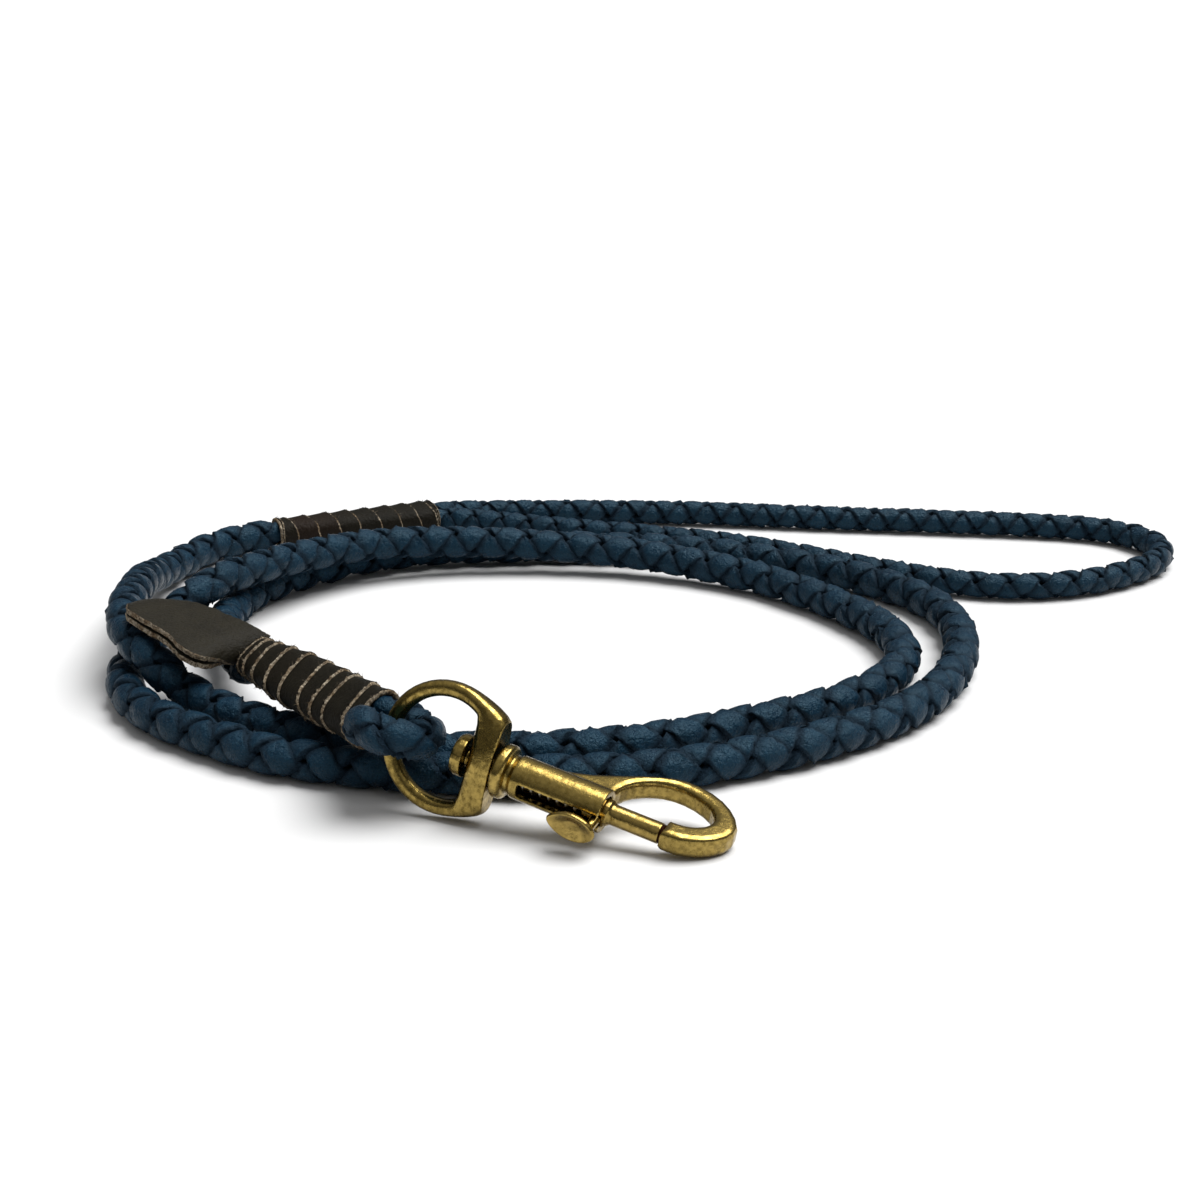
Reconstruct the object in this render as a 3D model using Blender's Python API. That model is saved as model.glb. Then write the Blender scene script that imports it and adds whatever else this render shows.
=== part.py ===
"""Leather lead: a round braid laid in two flat turns, with a handle loop and a brass swivel-eye bolt snap."""
from math import copysign, cos, exp, pi, radians, sin

import bmesh
import bpy
from mathutils import Matrix, Vector

# Driving dimensions, in millimetres.
MM = 0.001
GAP = 0.3                       # clearance between pieces that touch

BRAID_R = 4.0                   # main braid
HANDLE_R = 3.25                 # handle braid
LOOP_R = 3.3                    # braid bent through the swivel eye
BOUND_R = 2.5                   # braid squeezed under the snap wrap
LEG_OFFSET = 2.65               # half the spacing of the two legs under the snap wrap
HANDLE_BOUND_R = 2.6            # braid squeezed under the handle wrap
HANDLE_LEG_OFFSET = 2.85        # half the spacing of the two legs under the handle wrap
BOUND_REACH = 4.5               # how far the squeeze reaches out of the snap wrap
LEG_DEPTH = 0.5                 # share of the snap wrap's length that the legs leave empty
WRAP_WALL = 0.7                 # leather wrap
WRAP_POWER = 0.74               # 1 gives oval wraps, less gives squarer ones
TAG_PLY = 1.1                   # one layer of the tag

# The frame's origin is under the middle of the fittings. The routes are drawn round the coil's middle.
LAY_SHIFT = Vector((37.171, 2.803, 0.0))

# Routes of the braids' centre lines on the ground: x, y, z.
LEAD_ROUTE = [
    (-85.3, 79.4, 4.1), (-92, 75, 4), (-99, 67, 4), (-104, 53, 4.2), (-106, 36, 6.5), (-105, 18, 10.6),
    (-103.5, 0, 12.8), (-102, -12, 13.6), (-99, -24, 12.9), (-93, -33, 11.0), (-84, -40, 5.8),
    (-72, -50, 4), (-58, -59.5, 4), (-44, -65.5, 4), (-28, -68.5, 4), (-9, -67.8, 4), (10, -63.5, 4),
    (30, -54, 4), (46, -44, 4), (58, -32, 4), (65, -16, 4), (64.5, 0, 4), (59, 14, 4), (50, 28, 4),
    (38, 41, 4.2), (24, 50, 4.8), (9, 56, 5.6), (-8, 59, 6.5), (-24, 59.5, 7.5), (-40, 57.5, 8.4),
    (-56, 51, 9.6), (-70, 38, 10.8), (-80, 23, 12.2), (-87, 11, 12.6), (-93, 1, 9.8), (-97.5, -9, 6.2),
    (-100, -20, 4), (-98, -33, 4), (-92, -45, 4), (-84, -54, 4), (-74, -62, 4), (-62, -70, 4),
    (-48, -75, 4), (-34, -78, 4), (-18, -79.8, 4), (-2, -79.3, 4), (15, -76, 4), (32, -69, 4),
    (48, -59, 4), (62, -46, 4), (73, -28, 4), (79, -7, 4), (79, 14, 4), (72, 31, 4), (59, 45, 4),
    (42, 56, 4), (24, 63.5, 4), (6, 67, 4), (-9, 68, 4), (-24, 67.5, 4), (-38, 66, 4), (-52, 61.5, 4),
    (-66, 52, 4), (-77, 39, 4), (-83, 25, 4.1), (-84.5, 11, 4.5), (-83, -3, 6.2), (-80, -14, 7.8),
    (-77.2, -23, 8.6), (-74.8, -29.5, 8.8), (-73, -33.6, 8.8),
]
HANDLE_ROUTE = [
    (-45, 100.3, 4), (-27, 103.4, 3.4), (0, 104, 3.3), (27, 102.5, 3.3), (59, 98, 3.3), (91, 94, 3.3),
    (118, 90, 3.3), (133, 85, 3.3), (141, 76, 3.3), (142, 65, 3.3), (135, 53, 3.3), (120, 42, 3.3),
    (104, 37.5, 3.3), (88, 39.5, 3.3), (71, 48, 3.3), (55, 59, 3.3), (41, 68, 3.3), (26, 75, 3.3),
    (0, 83.5, 3.3), (-18, 89.2, 3.3), (-30, 92.9, 3.5), (-41.4, 94.7, 4),
]
LEAD_POINTS = 80
HANDLE_POINTS = 40
LOOP_POINTS = 36

# Wraps: the two ends of each one's middle line.
SNAP_WRAP = (Vector((-69.8, -38.3, 12.2)), Vector((-40.9, -79.7, 14.9)))
SNAP_WRAP_ROLL = radians(35)    # its wide side leans up at the back
SNAP_WRAP_SHAPE = ((0.0, 0.74, 0.85), (0.4, 1.0, 1.0), (1.0, 1.0, 1.15))    # along, width, height
HANDLE_WRAP = (Vector((-84, 80, 4.2)), Vector((-45, 97, 4.2)))
HANDLE_WRAP_SHAPE = ((0.0, 0.74, 1.0), (1.0, 1.0, 1.0))
HANDLE_CORE = ((2.0, 1.0), (20.0, 1.7), (38.0, 2.4))    # lashed braid ends: distance in, extra half width

# Tag: its far and near edges, from the wrap to the tip, and how far its middle stands above them.
TAG_EDGES = [
    ((-67.7, -33.6, 15.2), (-74.6, -38.2, 10.6)), ((-71.8, -32.4, 16.4), (-76.6, -41.8, 12.2)),
    ((-77.5, -28.0, 17.0), (-79.0, -45.6, 13.6)), ((-84.0, -23.0, 17.5), (-83.0, -44.6, 15.0)),
    ((-90.0, -22.0, 18.0), (-87.5, -39.0, 16.4)), ((-95.0, -23.3, 18.4), (-93.0, -34.5, 17.6)),
    ((-98.0, -27.0, 18.6), (-97.2, -30.2, 18.5)),
]
TAG_CROWN = (1.0, 0.4)          # at the wrap, at the tip
TAG_GAP = 0.4                   # between the two plies

# Snap: everything along its own axis S, with V across the hook's plane and W out of it.
EYE_CENTRE = Vector((-27.6, -88.3, 12.905))
SNAP_YAW = radians(23.5)
SNAP_PITCH = radians(12.5)
HOOK_ROLL = radians(8.5)
EYE_LEAN = radians(-10)

EYE_R = 12.4                    # outside of the ring
EYE_LIMB = 1.5                  # half thickness of the ring away from its boss
EYE_BOSS_WIDTH = 3.6            # half width of the ring at its boss
EYE_BOSS_S = 5.0                # inner face of the boss
EYE_SHOULDER = 1.3              # how far the boss's corners stand out
EYE_FACE_S = 10.4               # flat face of the boss
SHOULDER_ANGLE = radians(38)
SHOULDER_SPREAD = radians(18)

POST_R = 1.7
POST_HEAD = (2.1, 4.7, 3.9)     # start, end, radius
POST_HOLE_S = 1.0               # where the hole through the boss begins
POST_END_S = 14.2
COLLAR = (10.9, 13.2, 5.0)
NECK_R = 3.5
BARREL = (14.2, 32.0, 4.0)
BORE = (14.9, 2.75)             # start, radius
SLOT_START_S = 16.2
SLOT_WIDTH = 2.8
SLOT_ANGLE = radians(5)         # from -V towards -W

HOOK_HALF_THICKNESS = 2.2
HOOK_OUTLINE = [                # outside edge, from the barrel round to the tip, then the inside edge
    (16, 1), (16, 3.6), (20, 3.9), (25.5, 6.0), (31, 9.5), (36.3, 13.0), (41, 14.7), (46.5, 14.0),
    (51, 11.4), (53.8, 7.4), (53.4, 3.4), (50.5, 0), (46.5, -2.0), (42.9, -2.1),
    (42.9, 2.1), (46.2, 2.5), (48.7, 4.3), (49.4, 6.8), (47.8, 9.7), (44, 11.5), (40, 11.8),
    (36.6, 10.6), (33.8, 8.2), (32.3, 5.2), (31.8, 1),
]
HOOK_SHARP = {0, 1, 13, 14, 24} # corners of the outline that stay sharp
HOOK_BEVEL = 1.1

BOLT_END_S = 42.55
BOLT_R = 1.9
BOLT_GUIDE = (28.4, 33.2, 2.4)
BOLT_TAIL = (26.6, 1.0)
SPRING_SPAN = (15.3, 28.0)
SPRING_R = 1.85
SPRING_WIRE_R = 0.28
SPRING_TURNS = 7
KNOB_CENTRE_S = 28.4
KNOB_REACH = 6.5                # from the axis to the middle of the knob
KNOB_HALF = (4.7, 2.9, 1.0)     # along S, across, thick
STEM_S = 31.2
STEM_R = 0.95


def clear_scene():
    for obj in list(bpy.data.objects):
        bpy.data.objects.remove(obj)


def material(name, colour, roughness, metallic=0.0):
    mat = bpy.data.materials.new(name)
    mat.use_nodes = True
    shader = mat.node_tree.nodes["Principled BSDF"]
    shader.inputs["Base Color"].default_value = (*colour, 1.0)
    shader.inputs["Roughness"].default_value = roughness
    shader.inputs["Metallic"].default_value = metallic
    return mat


def add_object(name, data, mat):
    obj = bpy.data.objects.new(name, data)
    bpy.context.collection.objects.link(obj)
    data.materials.append(mat)
    return obj


def smooth(mesh, angle=radians(40)):
    mesh.shade_smooth()
    mesh.set_sharp_from_angle(angle=angle)


def catmull(points, t):
    """A point of the smooth curve through the points, with t from 0 to their count less one."""
    last = len(points) - 1
    i = min(int(t), last - 1)
    f = t - i
    p1, p2 = points[i], points[i + 1]
    p0 = points[i - 1] if i > 0 else p1 * 2 - p2
    p3 = points[i + 2] if i + 2 <= last else p2 * 2 - p1
    return 0.5 * (2 * p1 + (p2 - p0) * f + (2 * p0 - 5 * p1 + 4 * p2 - p3) * f * f
                  + (3 * p1 - p0 - 3 * p2 + p3) * f * f * f)


def even_points(points, count):
    """Points at even spacing along the smooth curve through the given ones."""
    fine = [catmull(points, (len(points) - 1) * i / 2000) for i in range(2001)]
    runs = [0.0]
    for a, b in zip(fine, fine[1:]):
        runs.append(runs[-1] + (b - a).length)
    result = []
    j = 0
    for i in range(count):
        target = runs[-1] * i / (count - 1)
        while j < len(runs) - 2 and runs[j + 1] < target:
            j += 1
        share = (target - runs[j]) / max(runs[j + 1] - runs[j], 1e-9)
        result.append(fine[j].lerp(fine[j + 1], share))
    return result


def braid_tube(name, points, radius, mat, shares=None):
    """A braid's plain tube: a bevelled curve through the points, with a share of the radius at each."""
    curve = bpy.data.curves.new(name, "CURVE")
    curve.dimensions = "3D"
    curve.bevel_depth = radius * MM
    curve.bevel_resolution = 2
    curve.use_fill_caps = True
    spline = curve.splines.new("POLY")
    spline.points.add(len(points) - 1)
    for i, place in enumerate(points):
        spline.points[i].co = (*(place * MM), 1.0)
        spline.points[i].radius = shares[i] if shares else 1.0
    return add_object(name, curve, mat)


def cap(bm, loop):
    """Closes a ring with a ladder of quads, which holds for a bent ring as well as for a flat one."""
    last = len(loop) - 1
    for i in range(len(loop) // 2 - 1):
        bm.faces.new((loop[i], loop[i + 1], loop[last - i - 1], loop[last - i]))


def loft(name, rings, mat, closed=False):
    """One closed body through rings of equal count, capped at its ends or closed round on itself."""
    mesh = bpy.data.meshes.new(name)
    bm = bmesh.new()
    loops = [[bm.verts.new(p * MM) for p in ring] for ring in rings]
    count = len(loops[0])
    pairs = list(zip(loops, loops[1:]))
    if closed:
        pairs.append((loops[-1], loops[0]))
    for a, b in pairs:
        for i in range(count):
            j = (i + 1) % count
            bm.faces.new((a[i], a[j], b[j], b[i]))
    if not closed:
        cap(bm, loops[0])
        cap(bm, loops[-1])
    bmesh.ops.recalc_face_normals(bm, faces=bm.faces)
    bm.to_mesh(mesh)
    bm.free()
    smooth(mesh)
    return add_object(name, mesh, mat)


def oval(centre, across, up, half_width, half_height, count=24):
    return [centre + across * (half_width * cos(2 * pi * i / count)) + up * (half_height * sin(2 * pi * i / count))
            for i in range(count)]


def squarish(centre, across, up, half_width, half_height, count=32):
    """An oval with fuller corners, so that two round legs fit side by side in it."""
    ring = []
    for i in range(count):
        x, y = cos(2 * pi * i / count), sin(2 * pi * i / count)
        ring.append(centre + across * (half_width * copysign(abs(x) ** WRAP_POWER, x))
                    + up * (half_height * copysign(abs(y) ** WRAP_POWER, y)))
    return ring


def sleeve_frame(ends, roll=0.0):
    """Directions along a wrap, across its wide side and through its narrow one."""
    along = (ends[1] - ends[0]).normalized()
    level = Vector((-along.y, along.x, 0)).normalized()
    upright = along.cross(level)
    across = level * cos(roll) + upright * sin(roll)
    return along, across, along.cross(across)


def shape_at(shape, share):
    """Width and height scales at a share of a wrap's length, read from its (share, width, height) rows."""
    for (s0, w0, h0), (s1, w1, h1) in zip(shape, shape[1:]):
        if share <= s1:
            f = (share - s0) / (s1 - s0)
            return w0 + (w1 - w0) * f, h0 + (h1 - h0) * f
    return shape[-1][1:]


def hollow_sleeve(name, ends, roll, inner, shape, mat):
    """An oval tube between two ends: inner is its inside half width and half height at full scale."""
    _, across, up = sleeve_frame(ends, roll)
    steps = 10
    outer_rings = []
    inner_rings = []
    for i in range(steps + 1):
        share = i / steps
        centre = ends[0].lerp(ends[1], share)
        wide, high = shape_at(shape, share)
        width, height = inner[0] * wide, inner[1] * high
        outer_rings.append(squarish(centre, across, up, width + WRAP_WALL, height + WRAP_WALL))
        inner_rings.append(squarish(centre, across, up, width, height))
    return loft(name, outer_rings + inner_rings[::-1], mat, closed=True)


def snap_axes(roll):
    """The snap's axis S, the direction V across its plane and W out of it, turned about S by roll."""
    s_axis = Vector((cos(SNAP_YAW) * cos(SNAP_PITCH), -sin(SNAP_YAW) * cos(SNAP_PITCH), -sin(SNAP_PITCH)))
    level = Vector((sin(SNAP_YAW), cos(SNAP_YAW), 0))
    upright = s_axis.cross(level)
    v_axis = level * cos(roll) + upright * sin(roll)
    return s_axis, v_axis, s_axis.cross(v_axis)


def snap_matrix(roll):
    """Places a mesh drawn in S, V, W so that its origin is the middle of the eye."""
    s_axis, v_axis, w_axis = snap_axes(roll)
    turn = Matrix((s_axis, v_axis, w_axis)).transposed().to_4x4()
    return Matrix.Translation((EYE_CENTRE + LAY_SHIFT) * MM) @ turn


def turned(name, profile, mat, count=28):
    """A solid of revolution about S from (s, radius) pairs, closed by a flat cap at each end."""
    rings = [[Vector((s, r * cos(2 * pi * i / count), r * sin(2 * pi * i / count))) for i in range(count)]
             for s, r in profile]
    return loft(name, rings, mat)


def apply_boolean(obj, other, operation):
    modifier = obj.modifiers.new(operation.title(), "BOOLEAN")
    modifier.operation = operation
    modifier.solver = "EXACT"
    modifier.object = other
    depsgraph = bpy.context.evaluated_depsgraph_get()
    result = bpy.data.meshes.new_from_object(obj.evaluated_get(depsgraph))
    obj.modifiers.clear()
    obj.data = result
    bpy.data.objects.remove(other)
    smooth(obj.data)


def make_box(low, high):
    """A box drawn in S, V, W."""
    mesh = bpy.data.meshes.new("box")
    bm = bmesh.new()
    bmesh.ops.create_cube(bm, size=1.0)
    low, high = Vector(low) * MM, Vector(high) * MM
    for vert in bm.verts:
        vert.co = Vector([low[k] + (high[k] - low[k]) * (vert.co[k] + 0.5) for k in range(3)])
    bm.to_mesh(mesh)
    bm.free()
    box = bpy.data.objects.new("box", mesh)
    bpy.context.collection.objects.link(box)
    return box


def lay(points):
    return [Vector(p) + LAY_SHIFT for p in points]


def grounded(points, radius):
    """The points, lifted where the curve between them dips too low for the braid to rest on the ground."""
    return [Vector((p.x, p.y, max(p.z, radius))) for p in points]


def braids(leather):
    lead = grounded(even_points(lay(LEAD_ROUTE), LEAD_POINTS), BRAID_R)
    handle = grounded(even_points(lay(HANDLE_ROUTE), HANDLE_POINTS), HANDLE_R)
    braid_tube("lead_braid", lead, BRAID_R, leather)
    braid_tube("handle_braid", handle, HANDLE_R, leather)


def snap_loop(leather):
    """The braid goes out of the snap wrap, round the eye's left limb and back in."""
    along, across, _ = sleeve_frame(SNAP_WRAP, SNAP_WRAP_ROLL)
    s_axis, _, limb_axis = snap_axes(EYE_LEAN)
    limb = EYE_CENTRE - s_axis * (EYE_R - EYE_LIMB)
    side = LOOP_R + EYE_LIMB + 4 * GAP
    ahead = (along - limb_axis * along.dot(limb_axis)).normalized()
    aside = limb_axis.cross(ahead)
    mouth = SNAP_WRAP[1]
    far = SNAP_WRAP[0].lerp(mouth, LEG_DEPTH)
    near = mouth + along * 0.6
    inside = [far.lerp(near, i / 5) for i in range(6)]
    bend = [limb + aside * side, limb + (ahead + aside) * (side * 0.71), limb + ahead * side,
            limb + (ahead - aside) * (side * 0.71), limb - aside * side]
    route = [p + across * LEG_OFFSET for p in inside] + bend + [p - across * LEG_OFFSET for p in inside[::-1]]
    points = even_points([p + LAY_SHIFT for p in route], LOOP_POINTS)
    shares = []
    for place in points:
        bound = (place - LAY_SHIFT - mouth).dot(along) < BOUND_REACH
        shares.append(BOUND_R / LOOP_R if bound else 1.0)
    braid_tube("snap_loop_braid", points, LOOP_R, leather, shares)


def wraps(wrap_leather, thread):
    legs = (LEG_OFFSET + BOUND_R + GAP, BOUND_R + GAP)
    hollow_sleeve("snap_wrap", lay(SNAP_WRAP), SNAP_WRAP_ROLL, legs, SNAP_WRAP_SHAPE, wrap_leather)
    handle_ends = lay(HANDLE_WRAP)
    inside = (HANDLE_LEG_OFFSET + HANDLE_BOUND_R + GAP, HANDLE_BOUND_R + GAP)
    hollow_sleeve("handle_wrap", handle_ends, 0.0, inside, HANDLE_WRAP_SHAPE, wrap_leather)
    along, across, up = sleeve_frame(handle_ends)
    core = [oval(handle_ends[0] + along * s, across, up, HANDLE_LEG_OFFSET + spread, HANDLE_BOUND_R)
            for s, spread in HANDLE_CORE]
    loft("handle_binding", core, thread)


def tag_ply(name, lift, mat):
    """One layer of the tongue: a crowned strip between two edges that close to a blunt point."""
    far_edge = lay(far for far, _ in TAG_EDGES)
    near_edge = lay(near for _, near in TAG_EDGES)
    last = len(TAG_EDGES) - 1
    steps = 3 * last
    columns = 7
    rings = []
    for i in range(steps + 1):
        share = i / steps
        far, near = catmull(far_edge, last * share), catmull(near_edge, last * share)
        ahead = min(last * share + 0.1, last)
        behind = max(last * share - 0.1, 0)
        heading = (catmull(far_edge, ahead) + catmull(near_edge, ahead)
                   - catmull(far_edge, behind) - catmull(near_edge, behind))
        normal = (far - near).cross(heading).normalized()
        if normal.z < 0:
            normal.negate()
        crown = TAG_CROWN[0] + (TAG_CROWN[1] - TAG_CROWN[0]) * share
        top = []
        for k in range(columns):
            v = k / (columns - 1)
            top.append(far.lerp(near, v) + normal * (crown * 4 * v * (1 - v) + lift + TAG_PLY / 2))
        rings.append(top + [p - normal * TAG_PLY for p in reversed(top)])
    return loft(name, rings, mat)


def tag(wrap_leather):
    lift = (TAG_PLY + TAG_GAP) / 2
    tag_ply("tag_upper", lift, wrap_leather)
    tag_ply("tag_lower", -lift, wrap_leather)


def swivel_eye(brass):
    """A cast ring that thickens into a flat boss, bored for the post."""
    rings = []
    for i in range(48):
        angle = 2 * pi * i / 48
        swell = max(cos(angle), 0.0) ** 1.5
        off = min(angle, 2 * pi - angle)
        reach = EYE_R + EYE_SHOULDER * exp(-((off - SHOULDER_ANGLE) / SHOULDER_SPREAD) ** 2)
        inner = min(EYE_R - 2 * EYE_LIMB, EYE_BOSS_S / max(cos(angle), EYE_BOSS_S / EYE_R))
        deep = (reach - inner) / 2
        wide = EYE_LIMB + (EYE_BOSS_WIDTH - EYE_LIMB) * swell
        spoke = Vector((cos(angle), 0, sin(angle)))
        rings.append(squarish(spoke * (reach - deep), spoke, Vector((0, 1, 0)), deep, wide, 16))
    eye = loft("swivel_eye", rings, brass, closed=True)
    apply_boolean(eye, make_box((EYE_FACE_S, -8, -14), (EYE_R + 8, 8, 14)), "DIFFERENCE")
    apply_boolean(eye, turned("hole", [(POST_HOLE_S, POST_R + GAP), (EYE_FACE_S + 3, POST_R + GAP)], brass), "DIFFERENCE")
    eye.matrix_world = snap_matrix(EYE_LEAN)


def swivel_post(brass):
    start, stop, head_r = POST_HEAD
    profile = [(start, head_r * 0.62), (start + 0.5, head_r * 0.92), (start + 1.2, head_r), (stop, head_r),
               (stop, POST_R), (POST_END_S, POST_R)]
    post = turned("swivel_post", profile, brass, 24)
    post.matrix_world = snap_matrix(HOOK_ROLL)


def hook_outline_points():
    """The outline as one closed list, with short curves between the corners that stay sharp."""
    count = len(HOOK_OUTLINE)
    corners = [Vector((s, v, 0)) for s, v in HOOK_OUTLINE]
    points = []
    for i in range(count):
        points.append(corners[i])
        j = (i + 1) % count
        if i in HOOK_SHARP and j in HOOK_SHARP:
            continue
        before = corners[i] * 2 - corners[j] if i in HOOK_SHARP else corners[i - 1]
        after = corners[j] * 2 - corners[i] if j in HOOK_SHARP else corners[(j + 1) % count]
        points.append(catmull([before, corners[i], corners[j], after], 1.5))
    return points


def hook_plate(brass):
    """The bow and its web, with bevelled edges, from one outline in the hook's plane."""
    mesh = bpy.data.meshes.new("snap_body")
    bm = bmesh.new()
    low = [bm.verts.new((p - Vector((0, 0, HOOK_HALF_THICKNESS))) * MM) for p in hook_outline_points()]
    face = bm.faces.new(low)
    moved = bmesh.ops.extrude_face_region(bm, geom=[face])
    bmesh.ops.translate(bm, vec=(0, 0, 2 * HOOK_HALF_THICKNESS * MM),
                        verts=[g for g in moved["geom"] if isinstance(g, bmesh.types.BMVert)])
    bmesh.ops.recalc_face_normals(bm, faces=bm.faces)
    bm.edges.ensure_lookup_table()
    rims = [e for e in bm.edges if abs(e.verts[0].co.z - e.verts[1].co.z) < 1e-7]
    bmesh.ops.bevel(bm, geom=rims, offset=HOOK_BEVEL * MM, segments=2, affect="EDGES", profile=0.5)
    bm.to_mesh(mesh)
    bm.free()
    return add_object("snap_body", mesh, brass)


def snap_body(brass):
    body = hook_plate(brass)
    collar_s, collar_end, collar_r = COLLAR
    barrel_s, barrel_end, barrel_r = BARREL
    profile = [(collar_s, collar_r - 0.6), (collar_s + 0.5, collar_r), (collar_end - 0.5, collar_r),
               (collar_end, collar_r - 0.6), (collar_end + 0.2, NECK_R), (barrel_s, NECK_R),
               (barrel_s + 0.5, barrel_r), (barrel_end, barrel_r)]
    apply_boolean(body, turned("barrel", profile, brass, 32), "UNION")
    post_hole = [(collar_s - 2, POST_R + GAP), (POST_END_S + GAP, POST_R + GAP)]
    apply_boolean(body, turned("post_hole", post_hole, brass, 24), "DIFFERENCE")
    bore = [(BORE[0], BORE[1]), (barrel_end + 3, BORE[1])]
    apply_boolean(body, turned("bore", bore, brass, 28), "DIFFERENCE")
    slot = make_box((SLOT_START_S, -9, -SLOT_WIDTH / 2), (barrel_end + 3, 0, SLOT_WIDTH / 2))
    slot.data.transform(Matrix.Rotation(SLOT_ANGLE, 4, "X"))
    apply_boolean(body, slot, "DIFFERENCE")
    body.matrix_world = snap_matrix(HOOK_ROLL)


def bolt(brass):
    guide_s, guide_end, guide_r = BOLT_GUIDE
    tail_s, tail_r = BOLT_TAIL
    profile = [(tail_s, tail_r), (guide_s, tail_r), (guide_s, guide_r), (guide_end - 0.4, guide_r),
               (guide_end, BOLT_R + 0.1), (guide_end + 0.3, BOLT_R), (BOLT_END_S, BOLT_R)]
    pin = turned("bolt", profile, brass, 24)
    pin.matrix_world = snap_matrix(HOOK_ROLL)


def bolt_spring(steel):
    start, stop = SPRING_SPAN
    count = SPRING_TURNS * 12
    curve = bpy.data.curves.new("bolt_spring", "CURVE")
    curve.dimensions = "3D"
    curve.bevel_depth = SPRING_WIRE_R * MM
    curve.bevel_resolution = 1
    curve.use_fill_caps = True
    spline = curve.splines.new("POLY")
    spline.points.add(count)
    inset = SPRING_WIRE_R
    for i in range(count + 1):
        angle = 2 * pi * i / 12
        s = start + inset + (stop - start - 2 * inset) * i / count
        place = Vector((s, SPRING_R * cos(angle), SPRING_R * sin(angle)))
        spline.points[i].co = (*(place * MM), 1.0)
    spring = add_object("bolt_spring", curve, steel)
    spring.matrix_world = snap_matrix(HOOK_ROLL)


def thumb_knob(brass):
    """A dished oval button on a stem that ends at the bolt."""
    half_s, half_across, thick = KNOB_HALF
    out = Vector((0, -cos(SLOT_ANGLE), -sin(SLOT_ANGLE)))
    across = Vector((0, sin(SLOT_ANGLE), -cos(SLOT_ANGLE)))
    centre = Vector((KNOB_CENTRE_S, 0, 0)) + out * KNOB_REACH
    rings = []
    for height, share in ((-thick, 0.55), (-thick * 0.4, 0.9), (thick * 0.3, 1.0), (thick * 0.8, 0.94),
                          (thick * 0.7, 0.8), (thick * 0.1, 0.35)):
        ring = []
        for i in range(28):
            angle = 2 * pi * i / 28
            point_shape = 1.0 - 0.28 * max(-cos(angle), 0.0) ** 2
            ring.append(centre + out * height + Vector((1, 0, 0)) * (half_s * share * cos(angle))
                        + across * (half_across * share * sin(angle) * point_shape))
        rings.append(ring)
    knob = loft("thumb_knob", rings, brass)
    stem_start = BOLT_GUIDE[2] + GAP
    stem = [oval(Vector((STEM_S, 0, 0)) + out * reach, Vector((1, 0, 0)), across, STEM_R * grow, STEM_R * grow, 14)
            for reach, grow in ((stem_start, 1.0), (5.2, 1.0), (KNOB_REACH, 1.25))]
    apply_boolean(knob, loft("stem", stem, brass), "UNION")
    knob.matrix_world = snap_matrix(HOOK_ROLL)


def build():
    clear_scene()
    leather = material("navy leather", (0.020, 0.055, 0.095), 0.45)
    wrap_leather = material("brown leather", (0.055, 0.045, 0.032), 0.55)
    thread = material("waxed thread", (0.30, 0.24, 0.16), 0.8)
    brass = material("brass", (0.62, 0.44, 0.14), 0.28, 1.0)
    steel = material("spring steel", (0.45, 0.45, 0.46), 0.35, 1.0)
    braids(leather)
    snap_loop(leather)
    wraps(wrap_leather, thread)
    tag(wrap_leather)
    swivel_eye(brass)
    swivel_post(brass)
    snap_body(brass)
    bolt(brass)
    bolt_spring(steel)
    thumb_knob(brass)


build()
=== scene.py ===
"""Looks for the leather lead: braided strands, wound leather wraps, the tag and the cast brass snap."""

from math import atan, cos, pi, radians, sin

import bmesh
import bpy
import numpy as np
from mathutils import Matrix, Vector


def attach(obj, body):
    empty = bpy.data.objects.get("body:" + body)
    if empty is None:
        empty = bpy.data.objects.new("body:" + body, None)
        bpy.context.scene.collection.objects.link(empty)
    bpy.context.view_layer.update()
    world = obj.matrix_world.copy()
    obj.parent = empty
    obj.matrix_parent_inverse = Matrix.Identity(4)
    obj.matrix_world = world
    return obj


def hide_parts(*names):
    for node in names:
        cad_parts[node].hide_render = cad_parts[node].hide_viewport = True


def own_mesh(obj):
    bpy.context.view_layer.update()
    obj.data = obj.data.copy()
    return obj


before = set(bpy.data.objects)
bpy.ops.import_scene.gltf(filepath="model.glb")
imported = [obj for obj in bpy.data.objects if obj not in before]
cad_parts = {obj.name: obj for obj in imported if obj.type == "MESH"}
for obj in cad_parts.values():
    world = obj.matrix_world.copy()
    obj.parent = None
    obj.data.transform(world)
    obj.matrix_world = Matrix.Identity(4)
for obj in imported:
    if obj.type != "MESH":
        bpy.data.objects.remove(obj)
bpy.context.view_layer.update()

MM = 0.001
UP = np.array([0.0, 0.0, 1.0])

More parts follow.
